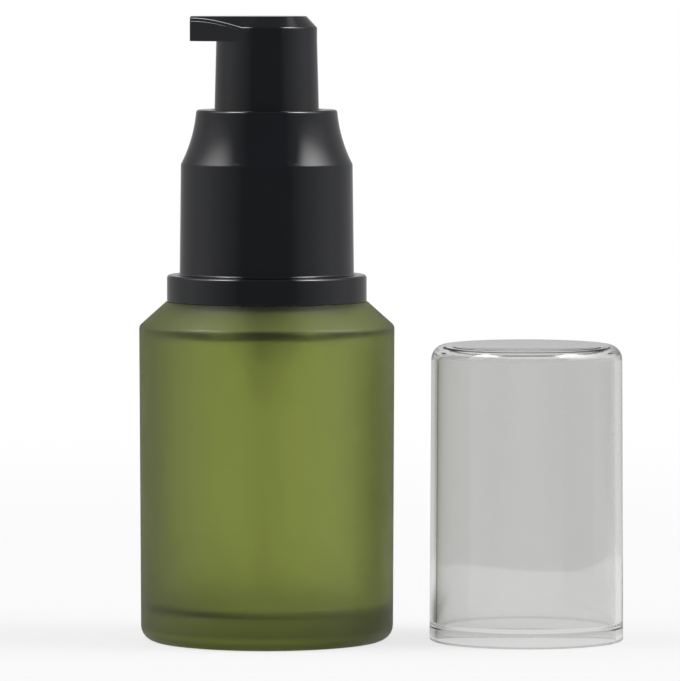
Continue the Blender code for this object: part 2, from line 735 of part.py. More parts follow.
def make_piston_rod():
    """Heights are above the poppet's upper face."""
    top = plug_bottom_z - poppet_z + ROD_INSERT
    pilot_foot = -POPPET_THICKNESS - PILOT_LENGTH
    outline = [
        (0, top),
        (ROD_RADIUS - ROD_TIP_CHAMFER, top),
        (ROD_RADIUS, top - ROD_TIP_CHAMFER),
        (ROD_RADIUS, 0),
        (poppet_radius, -POPPET_CONE),
        (poppet_radius, -POPPET_THICKNESS),
        (pilot_radius, -POPPET_THICKNESS),
        (pilot_radius, pilot_foot + PILOT_CHAMFER),
        (pilot_radius - PILOT_CHAMFER, pilot_foot),
        (0, pilot_foot),
    ]
    return turned("piston_rod", outline, INNER_SEGMENTS, closed=False)


def make_piston():
    """A hub and a sealing sleeve joined by a web. The sleeve flares at both rims."""
    bore = ROD_RADIUS + RUNNING_GAP
    hub = bore + PISTON_HUB_WALL
    lip = pump_bore_radius - PRESS_GAP
    sleeve = lip - PISTON_LIP_FLARE
    sleeve_bore = lip - PISTON_LIP_WALL
    middle = PISTON_HEIGHT / 2
    web_low, web_high = middle - PISTON_WEB / 2, middle + PISTON_WEB / 2
    outline = [
        (bore, PISTON_HEIGHT),
        (hub, PISTON_HEIGHT),
        (hub, web_high),
        (sleeve_bore, web_high),
        (sleeve_bore, PISTON_HEIGHT),
        (lip, PISTON_HEIGHT),
        (sleeve, middle),
        (lip, 0),
        (sleeve_bore, 0),
        (sleeve_bore, web_low),
        (hub, web_low),
        (hub, 0),
        (bore, 0),
    ]
    return turned("piston", outline, INNER_SEGMENTS)


def least_self_gap(points, apart, radius):
    """The clear space between the turns of a wire, from points at least that many steps apart."""
    places = [Vector(point) for point in points]
    gaps = []
    for i in range(len(places) - apart):
        gaps.append(min((other - places[i]).length for other in places[i + apart :]))
    return min(gaps) - 2 * radius


def make_return_spring():
    """A helix whose end turns lie closer together than the others."""
    height = SPRING_LENGTH - 2 * WIRE_RADIUS
    end_pitch = 2 * WIRE_RADIUS + END_TURN_GAP
    end_rise = SPRING_END_TURNS * end_pitch
    active_turns = SPRING_TURNS - 2 * SPRING_END_TURNS
    active_pitch = (height - 2 * end_rise) / active_turns
    count = round(SPRING_TURNS * SPRING_POINTS_PER_TURN)
    points = []
    for i in range(count + 1):
        turn = SPRING_TURNS * i / count
        low = min(turn, SPRING_END_TURNS)
        high = max(turn - SPRING_TURNS + SPRING_END_TURNS, 0)
        middle = turn - low - high
        z = WIRE_RADIUS + (low + high) * end_pitch + middle * active_pitch
        angle = 2 * math.pi * turn
        points.append((spring_radius * math.cos(angle), spring_radius * math.sin(angle), z))
    gap = least_self_gap(points, SPRING_POINTS_PER_TURN // 2, WIRE_RADIUS)
    print(f"return_spring: the least gap between turns is {gap / MM:.2f} mm")
    return settle(wire("return_spring", points, WIRE_RADIUS, 1))


def make_inlet_ball():
    mesh = bpy.data.meshes.new("inlet_ball")
    work = bmesh.new()
    bmesh.ops.create_uvsphere(
        work, u_segments=INNER_SEGMENTS // 2, v_segments=INNER_SEGMENTS // 3, radius=BALL_RADIUS
    )
    work.to_mesh(mesh)
    work.free()
    return settle(mesh_object("inlet_ball", mesh))


def make_dip_tube():
    """A tube that hangs down from its upper end, cut aslant at its foot."""
    length = tube_top_z - SEAT_GAP - BASE_THICKNESS - TUBE_FLOOR_GAP
    bore = TUBE_RADIUS - TUBE_WALL
    outline = [(bore, 0), (TUBE_RADIUS, 0), (TUBE_RADIUS, -length), (bore, -length)]
    tube = turned("dip_tube", outline, INNER_SEGMENTS)
    reach = 2 * TUBE_RADIUS
    cutter = box("slant", (-reach, -reach, -2 * reach), (reach, reach, 0))
    cutter.rotation_euler.y = TUBE_CUT_ANGLE
    cutter.location.z = -length + TUBE_RADIUS * math.tan(TUBE_CUT_ANGLE)
    return boolean(tube, cutter, "DIFFERENCE")


def make_axis(name, location, parent=None):
    """An empty on a joint's axis, which carries the pieces that move with it."""
    empty = bpy.data.objects.new(name, None)
    empty.location = location
    empty.parent = parent
    parts.objects.link(empty)
    return empty


def place(obj, parent, height, material):
    """Hangs a piece on its axis, with its own zero at that height above the table."""
    obj.parent = parent
    obj.location = (0, 0, height - parent.matrix_world.translation.z)
    obj.data.materials.clear()
    obj.data.materials.append(material)


clear_scene()
parts = bpy.data.collections.new("glass_pump_bottle")
bpy.context.scene.collection.children.link(parts)

frosted_green = make_material("frosted_green_glass", (0.19, 0.23, 0.05), 0.45, transmission=0.6)
gloss_black = make_material("gloss_black_plastic", (0.012, 0.012, 0.014), 0.18)
clear_plastic = make_material("clear_plastic", (0.75, 0.75, 0.74), 0.05, transmission=1.0)
natural_plastic = make_material("natural_plastic", (0.78, 0.78, 0.74), 0.4)
seal_plastic = make_material("seal_plastic", (0.86, 0.87, 0.86), 0.5)
steel = make_material("stainless_steel", (0.6, 0.6, 0.6), 0.25, metallic=1.0)

bottle_axis = make_axis("bottle_axis", (0, 0, 0))
pump_axis = make_axis("pump_axis", (0, 0, lip_z), bottle_axis)
closure_axis = make_axis("closure_axis", (0, 0, 0), pump_axis)
press_axis = make_axis("press_axis", (0, 0, 0), pump_axis)
head_axis = make_axis("head_axis", (0, 0, head_z - lip_z), press_axis)
overcap_axis = make_axis("overcap_axis", (cap_x, 0, 0), bottle_axis)
bpy.context.view_layer.update()

place(make_bottle(), bottle_axis, 0, frosted_green)
place(make_neck_gasket(), pump_axis, gasket_z, seal_plastic)
place(make_pump_housing(), pump_axis, housing_z, natural_plastic)
place(make_lock_ring(), pump_axis, lock_z, natural_plastic)
place(make_return_spring(), pump_axis, spring_z, steel)
place(make_inlet_ball(), pump_axis, ball_z, steel)
place(make_dip_tube(), pump_axis, tube_top_z - SEAT_GAP, natural_plastic)
place(make_screw_closure(), closure_axis, closure_z, gloss_black)
place(make_base_ring(), closure_axis, ring_z, gloss_black)
place(make_shroud(), closure_axis, shroud_z, gloss_black)
place(make_stem(), press_axis, plug_bottom_z, natural_plastic)
place(make_piston_rod(), press_axis, poppet_z, natural_plastic)
place(make_piston(), press_axis, piston_z, seal_plastic)
place(make_actuator_shell(), head_axis, head_z, gloss_black)
place(make_actuator_core(), head_axis, head_z, gloss_black)
place(make_nozzle_insert(), head_axis, head_z, gloss_black)
place(make_overcap(), overcap_axis, 0, clear_plastic)
bpy.context.view_layer.update()
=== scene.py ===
"""Looks of the glass pump bottle: a frosted green bottle, a glossy black pump, a clear overcap.

Sizes are in metres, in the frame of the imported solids. The bottle stands at the origin, the spout
points to -X and the overcap stands at +X. The photographed side is -Y.
"""

import math

import bmesh
import bpy
from mathutils import Matrix, Vector


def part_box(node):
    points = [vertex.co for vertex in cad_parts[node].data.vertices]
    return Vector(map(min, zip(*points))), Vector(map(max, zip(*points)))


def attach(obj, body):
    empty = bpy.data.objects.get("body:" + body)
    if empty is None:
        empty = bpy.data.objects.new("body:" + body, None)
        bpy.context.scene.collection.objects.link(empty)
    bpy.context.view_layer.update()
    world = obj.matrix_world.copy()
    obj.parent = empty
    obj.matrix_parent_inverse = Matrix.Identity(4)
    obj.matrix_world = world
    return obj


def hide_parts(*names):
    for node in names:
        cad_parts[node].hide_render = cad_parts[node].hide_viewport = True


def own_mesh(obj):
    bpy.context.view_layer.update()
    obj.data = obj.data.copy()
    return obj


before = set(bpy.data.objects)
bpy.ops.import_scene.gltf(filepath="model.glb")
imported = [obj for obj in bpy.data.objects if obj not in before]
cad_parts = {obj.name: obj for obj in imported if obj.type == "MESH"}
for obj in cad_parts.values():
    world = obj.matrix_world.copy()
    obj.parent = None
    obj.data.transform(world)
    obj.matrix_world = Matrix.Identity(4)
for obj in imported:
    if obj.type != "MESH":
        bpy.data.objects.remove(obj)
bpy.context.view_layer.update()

MM = 0.001
PHOTO_SIZE = 681  # the photograph's longer side, in pixels
ROUND_SEGMENTS = 144
SMALL_SEGMENTS = 64
FILLET_STEPS = 6
WIRE_STEPS = 4
EDGE_STEPS = 3
WELD_DISTANCE = 0.001 * MM
SMOOTH_ANGLE = math.radians(28)
INWARD_SHARE = 0.01
ETCHED = "etched"
OVERRUN = 1.0 * MM
SEAT_GAP = 0.02 * MM

# Camera, fitted to the photograph's edges
CAMERA_DISTANCE = 0.950
CAMERA_SIDE = 0.0106
CAMERA_HEIGHT = 0.0998
CAMERA_PITCH = math.radians(3.39)
FOCAL_PIXELS = 6565
SENSOR_MM = 36
CLIP_START = 0.01
CLIP_END = 200

# Bottle, as in the solids
BODY_DRAFT = 0.2 * MM
SHOULDER_HEIGHT = 45.7 * MM
LAND_RADIUS = 14.59 * MM
LAND_HEIGHT = 49.2 * MM
HEEL_FILLET = 2.2 * MM
CREASE_FILLET = 0.9 * MM
LAND_FILLET = 0.3 * MM
BASE_THICKNESS = 4.5 * MM
WALL_THICKNESS = 2.5 * MM
CAVITY_HEEL_FILLET = 1.4 * MM
CAVITY_SHOULDER_DROP = 1.3 * MM
CAVITY_SHOULDER_FILLET = 0.8 * MM
CAVITY_ROOF_FILLET = 0.8 * MM
NECK_RADIUS = 9.0 * MM
NECK_BORE_RADIUS = 6.5 * MM
NECK_ROOT_THICKNESS = 1.7 * MM
NECK_ROOT_FILLET = 1.5 * MM
LIP_FILLET = 0.45 * MM
THREAD_PITCH = 3.175 * MM
THREAD_DEPTH = 0.8 * MM
THREAD_TURNS = 1.5
THREAD_TOP_DEPTH = 3.4 * MM
THREAD_POINTS_PER_TURN = 60
THREAD_FADE_SHARE = 0.1
THREAD_END_SHARE = 0.3

# Ring and shroud, as in the solids but for the shroud's hollow foot
RING_BORE_RADIUS = 11.35 * MM
RING_TOP_FILLET = 0.45 * MM
RING_FOOT_FILLET = 0.2 * MM
SHROUD_WALL = 1.1 * MM
SHROUD_DECK = 1.2 * MM
SHROUD_TOP_RADIUS = 10.24 * MM
SHROUD_WAIST_RADIUS = 12.44 * MM
SHROUD_SHOULDER = 7.9 * MM
SHROUD_HOLE_RADIUS = 8.0 * MM
SHROUD_TOP_FILLET = 0.45 * MM
SHROUD_HOLE_FILLET = 0.2 * MM
WAIST_FILLET = 0.5 * MM
SHROUD_BEAD = 0.3 * MM
SHROUD_BEAD_EDGE = 0.04 * MM
FLARE_RADIUS = 20.4 * MM
FLARE_STEPS = 24

# Press head, as in the solids but for the spout's softer edge and its fine ledge
HEAD_RADIUS = 7.3 * MM
HEAD_WALL = 1.0 * MM
HEAD_TOP_THICKNESS = 1.0 * MM
HEAD_CAVITY_CHAMFER = 0.9 * MM
CHAMFER_HEIGHT = 1.65 * MM
CHAMFER_INSET = 1.55 * MM
CHAMFER_LOW_FILLET = 0.4 * MM
CHAMFER_TOP_FILLET = 0.25 * MM
SPOUT_HEIGHT = 3.6 * MM
SPOUT_HALF_WIDTH = 2.5 * MM
SPOUT_CORNER = 0.45 * MM
SPOUT_EDGE = 0.3 * MM
SPOUT_EDGE_FILLET = 0.33 * MM
SPOUT_FOOT_FILLET = 0.15 * MM
SPOUT_FRONT_SHARE = 0.3  # of the edge's depth, at the spout's tip
LEDGE_DROP = 0.75 * MM  # a fine ledge along the spout's sides, this far under its top
LEDGE_DEPTH = 0.05 * MM
LEDGE_FILLET = 0.17 * MM
LEDGE_END_SHARE = 0.02  # what is left of it where the spout meets the head
SPOUT_SIDE_WALL = 0.7 * MM
SPOUT_FLOOR = 0.7 * MM
TOP_MARGIN = 1.0 * MM
NOZZLE_WALL = 0.4 * MM
NOZZLE_EDGE = 0.12 * MM

# Overcap, as in the solids but for slightly tighter roundings at its top
CAP_WALL = 1.02 * MM
CAP_TOP_THICKNESS = 1.3 * MM
CAP_DRAFT = 0.23 * MM
CAP_EDGE_FILLET = 2.2 * MM
CAP_INNER_FILLET = 1.0 * MM
CAP_RIM_FILLET = 0.3 * MM
CAP_BEAD_HEIGHT = 2.2 * MM
CAP_BEAD_DEPTH = 0.25 * MM
CAP_BEAD_HALF_WIDTH = 0.6 * MM


def rounded(corners, steps=FILLET_STEPS):
    """The outline through (radius, height, fillet) corners, with each fillet as a tangent arc."""
    points = []
    for index, (radius, height, fillet) in enumerate(corners):
        corner = Vector((radius, height))
        if not fillet:
            points.append(corner)
            continue
        before = (Vector(corners[index - 1][:2]) - corner).normalized()
        after = (Vector(corners[(index + 1) % len(corners)][:2]) - corner).normalized()
        half_angle = before.angle(after) / 2
        tangent = fillet / math.tan(half_angle)
        centre = corner + (before + after).normalized() * (fillet / math.sin(half_angle))
        start = corner + before * tangent - centre
        turn = start.angle_signed(corner + after * tangent - centre)
        points += [centre + Matrix.Rotation(-turn * i / steps, 2) @ start for i in range(steps + 1)]
    return points


def flare(top, foot, radius, steps):
    """Points of a hollow arc from top down to foot, both (radius, height), with its two ends."""
    top, foot = Vector(top), Vector(foot)
    chord = foot - top
    outward = Vector((-chord.y, chord.x)).normalized()
    centre = (top + foot) / 2 + outward * math.sqrt(radius**2 - (chord.length / 2) ** 2)
    start = top - centre
    turn = start.angle_signed(foot - centre)
    return [centre + Matrix.Rotation(-turn * i / steps, 2) @ start for i in range(steps + 1)]


def mesh_object(name, mesh):
    obj = bpy.data.objects.new(name, mesh)
    bpy.context.scene.collection.objects.link(obj)
    return obj


def settle(obj):
    """Gives the object its evaluated mesh, shaded smooth between the sharp edges."""
    graph = bpy.context.evaluated_depsgraph_get()
    mesh = bpy.data.meshes.new_from_object(obj.evaluated_get(graph))
    mesh.shade_smooth()
    mesh.set_sharp_from_angle(angle=SMOOTH_ANGLE)
    obj.modifiers.clear()
    obj.data = mesh
    mesh.name = obj.name
    return obj


def even_normals(obj):
    """Lets the large faces rule the shading, so that a long wall isn't bent towards its fillets."""
    weighted = obj.modifiers.new("normals", "WEIGHTED_NORMAL")
    weighted.keep_sharp = True
    graph = bpy.context.evaluated_depsgraph_get()
    mesh = bpy.data.meshes.new_from_object(obj.evaluated_get(graph))
    obj.modifiers.clear()
    obj.data = mesh


def turned(name, points, segments=ROUND_SEGMENTS, closed=True):
    """A body turned about Z from an outline at +X that runs down its outer side."""
    mesh = bpy.data.meshes.new(name)
    edges = [(i, i + 1) for i in range(len(points) - 1)]
    if closed:
        edges.append((len(points) - 1, 0))
    mesh.from_pydata([(radius, 0, height) for radius, height in points], edges, [])
    obj = mesh_object(name, mesh)
    screw = obj.modifiers.new("turn", "SCREW")
    screw.axis = "Z"
    screw.angle = 2 * math.pi
    screw.steps = screw.render_steps = segments
    screw.use_merge_vertices = True
    screw.merge_threshold = WELD_DISTANCE
    return settle(obj)


def box(name, lower, upper, edge=0):
    """A box between two opposite corners, with its edges rounded."""
    mesh = bpy.data.meshes.new(name)
    work = bmesh.new()
    bmesh.ops.create_cube(work, size=1.0)
    bmesh.ops.scale(work, vec=Vector(upper) - Vector(lower), verts=work.verts)
    bmesh.ops.translate(work, vec=(Vector(upper) + Vector(lower)) / 2, verts=work.verts)
    work.to_mesh(mesh)
    work.free()
    obj = mesh_object(name, mesh)
    if edge:
        bevel = obj.modifiers.new("edge", "BEVEL")
        bevel.width = edge
        bevel.segments = EDGE_STEPS
    return settle(obj)


def wire(name, points, radius, thickness_shares):
    """A round wire along the points, closed, with that share of the radius at each point."""
    data = bpy.data.curves.new(name, "CURVE")
    data.dimensions = "3D"
    data.bevel_depth = radius
    data.bevel_resolution = WIRE_STEPS
    data.use_fill_caps = True
    spline = data.splines.new("POLY")
    spline.points.add(len(points) - 1)
    for place, point in zip(spline.points, points):
        place.co = (*point, 1)
    spline.points.foreach_set("radius", thickness_shares)
    guide = mesh_object(name + "_guide", data)
    graph = bpy.context.evaluated_depsgraph_get()
    mesh = bpy.data.meshes.new_from_object(guide.evaluated_get(graph))
    bpy.data.objects.remove(guide)
    work = bmesh.new()
    work.from_mesh(mesh)
    bmesh.ops.remove_doubles(work, verts=work.verts, dist=WELD_DISTANCE)
    bmesh.ops.recalc_face_normals(work, faces=work.faces)
    work.to_mesh(mesh)
    work.free()
    return mesh_object(name, mesh)


def boolean(obj, other, operation):
    """Cuts other from obj or joins it on, and removes other."""
    modifier = obj.modifiers.new(operation.lower(), "BOOLEAN")
    modifier.operation = operation
    modifier.object = other
    settle(obj)
    bpy.data.objects.remove(other)
    return obj


def make_bottle():
    _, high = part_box("bottle")
    shoulder_radius = high.x
    foot_radius = shoulder_radius - BODY_DRAFT
    lip = high.z
    cavity_radius = shoulder_radius - WALL_THICKNESS
    cavity_shoulder = SHOULDER_HEIGHT - CAVITY_SHOULDER_DROP
    cavity_roof = LAND_HEIGHT - NECK_ROOT_THICKNESS
    shoulder_slope = (LAND_HEIGHT - SHOULDER_HEIGHT) / (shoulder_radius - LAND_RADIUS)
    roof_run = (cavity_roof - cavity_shoulder) / shoulder_slope
    outline = rounded(
        [
            (0, BASE_THICKNESS, 0),
            (foot_radius - WALL_THICKNESS, BASE_THICKNESS, CAVITY_HEEL_FILLET),
            (cavity_radius, cavity_shoulder, CAVITY_SHOULDER_FILLET),
            (cavity_radius - roof_run, cavity_roof, CAVITY_ROOF_FILLET),
            (NECK_BORE_RADIUS, cavity_roof, NECK_ROOT_FILLET),
            (NECK_BORE_RADIUS, lip, LIP_FILLET),
            (NECK_RADIUS, lip, LIP_FILLET),
            (NECK_RADIUS, LAND_HEIGHT, 0),
            (LAND_RADIUS, LAND_HEIGHT, LAND_FILLET),
            (shoulder_radius, SHOULDER_HEIGHT, CREASE_FILLET),
            (foot_radius, 0, HEEL_FILLET),
            (0, 0, 0),
        ]
    )
    bottle = turned("frosted_bottle", outline, closed=False)
    count = round(THREAD_TURNS * THREAD_POINTS_PER_TURN)
    points, shares = [], []
    for i in range(count + 1):
        share = i / count
        angle = 2 * math.pi * THREAD_TURNS * share
        height = lip - THREAD_TOP_DEPTH - THREAD_PITCH * THREAD_TURNS * (1 - share)
        points.append((NECK_RADIUS * math.cos(angle), NECK_RADIUS * math.sin(angle), height))
        fade = min(1, min(share, 1 - share) / THREAD_FADE_SHARE)
        shares.append(THREAD_END_SHARE + (1 - THREAD_END_SHARE) * fade)
    return boolean(bottle, wire("neck_thread", points, THREAD_DEPTH, shares), "UNION")


def make_ring():
    """The base ring, seated on the glass."""
    _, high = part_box("base_ring")
    foot = LAND_HEIGHT + SEAT_GAP
    outline = rounded(
        [
            (RING_BORE_RADIUS, high.z, 0),
            (high.x, high.z, RING_TOP_FILLET),
            (high.x, foot, RING_FOOT_FILLET),
            (RING_BORE_RADIUS, foot, 0),
        ]
    )
    return turned("ring", outline)


def make_shroud():
    """The sleeve, seated on the ring by a hollow foot: a cylinder that flares in to the collar."""
    _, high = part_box("shroud")
    foot_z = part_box("base_ring")[1].z + SEAT_GAP
    waist_z = high.z - SHROUD_SHOULDER
    top = (SHROUD_TOP_RADIUS, high.z - SHROUD_TOP_FILLET)
    waist = (SHROUD_WAIST_RADIUS, waist_z)
    hollow = flare(top, waist, FLARE_RADIUS, FLARE_STEPS)
    before_waist = hollow[-2]
    edge = rounded(
        [
            (SHROUD_HOLE_RADIUS, high.z - SHROUD_DECK, 0),
            (SHROUD_HOLE_RADIUS, high.z, SHROUD_HOLE_FILLET),
            (SHROUD_TOP_RADIUS, high.z, SHROUD_TOP_FILLET),
            (SHROUD_TOP_RADIUS, high.z - SHROUD_DECK, 0),
        ]
    )[:-2]
    foot = rounded(
        [
            (*before_waist, 0),
            (*waist, WAIST_FILLET),
            (high.x, foot_z + SHROUD_BEAD_EDGE, SHROUD_BEAD),
            (high.x + SHROUD_BEAD, foot_z + SHROUD_BEAD_EDGE, 0),
            (high.x + SHROUD_BEAD, foot_z, 0),
            (high.x - SHROUD_WALL, foot_z, 0),
        ]
    )[1:]
    keep = [point for point in hollow if point.y > foot[0].y]
    inner = [
        (SHROUD_WAIST_RADIUS - SHROUD_WALL, waist_z),
        (SHROUD_TOP_RADIUS - SHROUD_WALL, high.z - SHROUD_DECK),
    ]
    return turned("sleeve", [*edge, *keep, *foot, *inner])


def make_overcap():
    low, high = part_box("overcap")
    centre = (low + high) / 2
    radius = (high.x - low.x) / 2
    bore = radius - CAP_WALL
    ceiling = high.z - CAP_TOP_THICKNESS
    outline = rounded(
        [
            (0, high.z, 0),
            (radius - CAP_DRAFT, high.z, CAP_EDGE_FILLET),
            (radius, 0, CAP_RIM_FILLET),
            (bore, 0, CAP_RIM_FILLET),
            (bore, CAP_BEAD_HEIGHT - CAP_BEAD_HALF_WIDTH, 0),
            (bore - CAP_BEAD_DEPTH, CAP_BEAD_HEIGHT, CAP_BEAD_HALF_WIDTH),
            (bore, CAP_BEAD_HEIGHT + CAP_BEAD_HALF_WIDTH, 0),
            (bore - CAP_DRAFT, ceiling, CAP_INNER_FILLET),
            (0, ceiling, 0),
        ]
    )
    cap = turned("clear_cap", outline, closed=False)
    cap.location.x = centre.x
    return cap


# Points along half a ring of the head: round it, along the spout, round and across its tip
HEAD_POINTS = 44
LINE_POINTS = 12
CORNER_POINTS = 6
FRONT_POINTS = 4


def tangent_angle(radius, centre, corner):
    """The direction in which one line touches both the head's circle and the spout's corner."""
    reach = Vector(centre)
    return math.atan2(reach.y, reach.x) - math.acos((radius - corner) / reach.length)


def mirrored(half):
    """Both halves of an outline whose first and last points lie on the XZ plane."""
    return half + [Vector((p.x, -p.y, p.z)) for p in reversed(half[1:-1])]


def circle_ring(radius, z, touch):
    """A round ring whose points match those of a spout ring that leaves the circle at touch."""
    rest = LINE_POINTS + CORNER_POINTS + FRONT_POINTS
    angles = [touch * i / HEAD_POINTS for i in range(HEAD_POINTS + 1)]
    angles += [touch + (math.pi - touch) * (i + 1) / rest for i in range(rest)]
    return mirrored([Vector((radius * math.cos(a), radius * math.sin(a), z)) for a in angles])


def spout_ring(radius, head_z, reach, half_width, tip_z):
    """A teardrop ring, the head's circle drawn out to the tip's height, and where it leaves it."""
    corner = SPOUT_CORNER
    centre = (corner - reach, half_width - corner)
    touch = tangent_angle(radius, centre, corner)
    half = []
    for i in range(HEAD_POINTS + 1):
        angle = touch * i / HEAD_POINTS
        half.append(Vector((radius * math.cos(angle), radius * math.sin(angle), head_z)))
    arc = []
    for i in range(CORNER_POINTS + 1):
        angle = touch + (math.pi - touch) * i / CORNER_POINTS
        x = centre[0] + corner * math.cos(angle)
        y = centre[1] + corner * math.sin(angle)
        arc.append(Vector((x, y, tip_z)))
    leave, arrive = half[-1], arc[0]
    for i in range(LINE_POINTS):
        share = (i + 1) / LINE_POINTS
        point = leave.lerp(arrive, share)
        point.z = leave.z + (arrive.z - leave.z) * math.sin(share * math.pi / 2)
        half.append(point)
    half += arc[1:]
    end = Vector((-reach, 0, tip_z))
    half += [arc[-1].lerp(end, (i + 1) / FRONT_POINTS) for i in range(FRONT_POINTS)]
    return mirrored(half), touch


def loft(name, rings):
    """A closed body through rings of as many points each, from the lowest to the highest."""
    work = bmesh.new()
    made = [[work.verts.new(point) for point in ring] for ring in rings]
    count = len(rings[0])
    for lower, upper in zip(made, made[1:]):
        for i in range(count):
            j = (i + 1) % count
            work.faces.new((lower[i], lower[j], upper[j], upper[i]))
    work.faces.new(reversed(made[0]))
    work.faces.new(made[-1])
    bmesh.ops.remove_doubles(work, verts=work.verts, dist=WELD_DISTANCE)
    bmesh.ops.recalc_face_normals(work, faces=work.faces)
    mesh = bpy.data.meshes.new(name)
    work.to_mesh(mesh)
    work.free()
    return settle(mesh_object(name, mesh))


def make_head():
    low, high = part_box("actuator_shell")
    foot_radius, reach, top = high.x, -low.x, high.z
    underside = top - SPOUT_HEIGHT
    edge = top - CHAMFER_HEIGHT
    ledge = edge - CHAMFER_LOW_FILLET
    faint = LEDGE_END_SHARE * LEDGE_DEPTH
    side = rounded(
        [
            (HEAD_RADIUS, underside, 0),
            (HEAD_RADIUS, ledge, LEDGE_END_SHARE * LEDGE_FILLET),
            (HEAD_RADIUS - faint, ledge + faint, 0),
            (HEAD_RADIUS - faint, edge, CHAMFER_LOW_FILLET),
            (HEAD_RADIUS - CHAMFER_INSET, top, CHAMFER_TOP_FILLET),
            (HEAD_RADIUS - CHAMFER_INSET - TOP_MARGIN, top, 0),
        ]
    )
    tip = rounded(
        [
            (0, underside, 0),
            (0, top - LEDGE_DROP, LEDGE_FILLET),
            (-LEDGE_DEPTH, top - LEDGE_DROP + LEDGE_DEPTH, 0),
            (-LEDGE_DEPTH, top - SPOUT_EDGE, SPOUT_EDGE_FILLET),
            (-LEDGE_DEPTH - SPOUT_EDGE, top, SPOUT_EDGE_FILLET),
            (-LEDGE_DEPTH - SPOUT_EDGE - TOP_MARGIN, top, 0),
        ]
    )
    under = rounded(
        [
            (-SPOUT_FOOT_FILLET, underside, 0),
            (0, underside, SPOUT_FOOT_FILLET),
            (0, underside + SPOUT_FOOT_FILLET, 0),
        ]
    )[1:-1]
    rings = []
    for inset, z in under:
        ring, touch = spout_ring(HEAD_RADIUS, z, reach + inset, SPOUT_HALF_WIDTH + inset, z)
        if not rings:
            rings.append(circle_ring(foot_radius, low.z, touch))
            rings.append(circle_ring(HEAD_RADIUS, underside, touch))
        rings.append(ring)
    for (radius, head_z), (inset, tip_z) in zip(side[1:], tip[1:]):
        tip_reach = reach + SPOUT_FRONT_SHARE * inset
        ring, _ = spout_ring(radius, head_z, tip_reach, SPOUT_HALF_WIDTH + inset, tip_z)
        rings.append(ring)
    head = loft("press_head", rings)
    cavity_top = top - HEAD_TOP_THICKNESS
    cavity = [
        (0, cavity_top),
        (HEAD_RADIUS - HEAD_WALL - HEAD_CAVITY_CHAMFER, cavity_top),
        (HEAD_RADIUS - HEAD_WALL, cavity_top - HEAD_CAVITY_CHAMFER),
        (foot_radius - HEAD_WALL, low.z),
        (foot_radius - HEAD_WALL, low.z - OVERRUN),
        (0, low.z - OVERRUN),
    ]
    boolean(head, turned("head_cavity", cavity, SMALL_SEGMENTS, closed=False), "DIFFERENCE")
    half = SPOUT_HALF_WIDTH - SPOUT_SIDE_WALL
    slot_low = (-reach - OVERRUN, -half, underside + SPOUT_FLOOR)
    slot = box("spout_slot", slot_low, (0, half, cavity_top))
    return boolean(head, slot, "DIFFERENCE")


def make_nozzle():
    low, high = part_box("nozzle_insert")
    nozzle = box("mouthpiece", low, high, NOZZLE_EDGE)
    wall = Vector((-OVERRUN, NOZZLE_WALL, NOZZLE_WALL))
    return boolean(nozzle, box("mouth", low + wall, high - wall, NOZZLE_EDGE), "DIFFERENCE")


# Surfaces. A noise is given by its features to the metre, its detail and, if any, its stretch
NOISE_MIDDLE = (0.3, 0.7)
MIX_LOW, MIX_HIGH, MIX_RESULT = 6, 7, 2  # the mix node's colour sockets

GLASS_SKIN = (0.301, 0.357, 0.071)
GLASS_SKIN_ROUGHNESS = (0.40, 0.47)
GLASS_SKIN_PATCHES = (260, 2)
GLASS_INSIDE = (0.98, 0.99, 0.96)
GLASS_INSIDE_ROUGHNESS = (0.03, 0.07)
GLASS_INSIDE_PATCHES = (120, 2)
GLASS_MEDIUM = (0.59, 0.59, 0.53)
GLASS_MEDIUM_DENSITY = 51
GLASS_IOR = 1.5
ETCH_GRAIN = (5200, 3)
ETCH_DEPTH = 0.012 * MM
ETCH_STRENGTH = 0.5

BLACK_LOW = (0.0034, 0.0041, 0.0066)
BLACK_HIGH = (0.0044, 0.0051, 0.0080)
BLACK_PATCHES = (180, 2)
GLOSS_ROUGHNESS = (0.05, 0.08)
GLOSS_PATCHES = (420, 4)
MOULD_WAVES = (700, 2)
MOULD_WAVE_DEPTH = 0.002 * MM
MOULD_WAVE_STRENGTH = 0.35

CLEAR_COLOUR = (0.79, 0.79, 0.785)
CLEAR_IOR = 1.49
CLEAR_ROUGHNESS = (0.0, 0.02)
CLEAR_PATCHES = (90, 2)
FLOW_WAVES = (55, 1, (1, 1, 0.35))
FLOW_DEPTH = 0.10 * MM
FLOW_STRENGTH = 0.5

NATURAL_IOR = 1.3  # low, so that the pump shows through the glass as faintly as in the photograph
# The uncoloured plastics by colour, roughness and the share of the light that they let through
MILKY = ((0.96, 0.96, 0.95), 0.25, 0.95)
SEAL = ((0.88, 0.89, 0.88), 0.5, 0.3)
PALE = ((0.98, 0.98, 0.97), 0.12, 1.0)
NATURAL_SHADE = 0.94
NATURAL_PATCHES = (300, 2)
NATURAL_ROUGHNESS_SHARES = (0.9, 1.1)
NATURAL_GRAIN = (900, 3)
NATURAL_RELIEF = (2500, 2)
NATURAL_RELIEF_DEPTH = 0.003 * MM
NATURAL_RELIEF_STRENGTH = 0.4

STEEL_LOW = (0.52, 0.52, 0.53)
STEEL_HIGH = (0.62, 0.62, 0.62)
STEEL_PATCHES = (500, 2)
STEEL_ROUGHNESS = (0.18, 0.32)
DRAWING_MARKS = (3000, 4, (1, 1, 0.1))


def shader_of(name):
    """A new material, its node tree and its Principled BSDF."""
    material = bpy.data.materials.new(name)
    material.use_nodes = True
    tree = material.node_tree
    return material, tree, tree.nodes["Principled BSDF"]


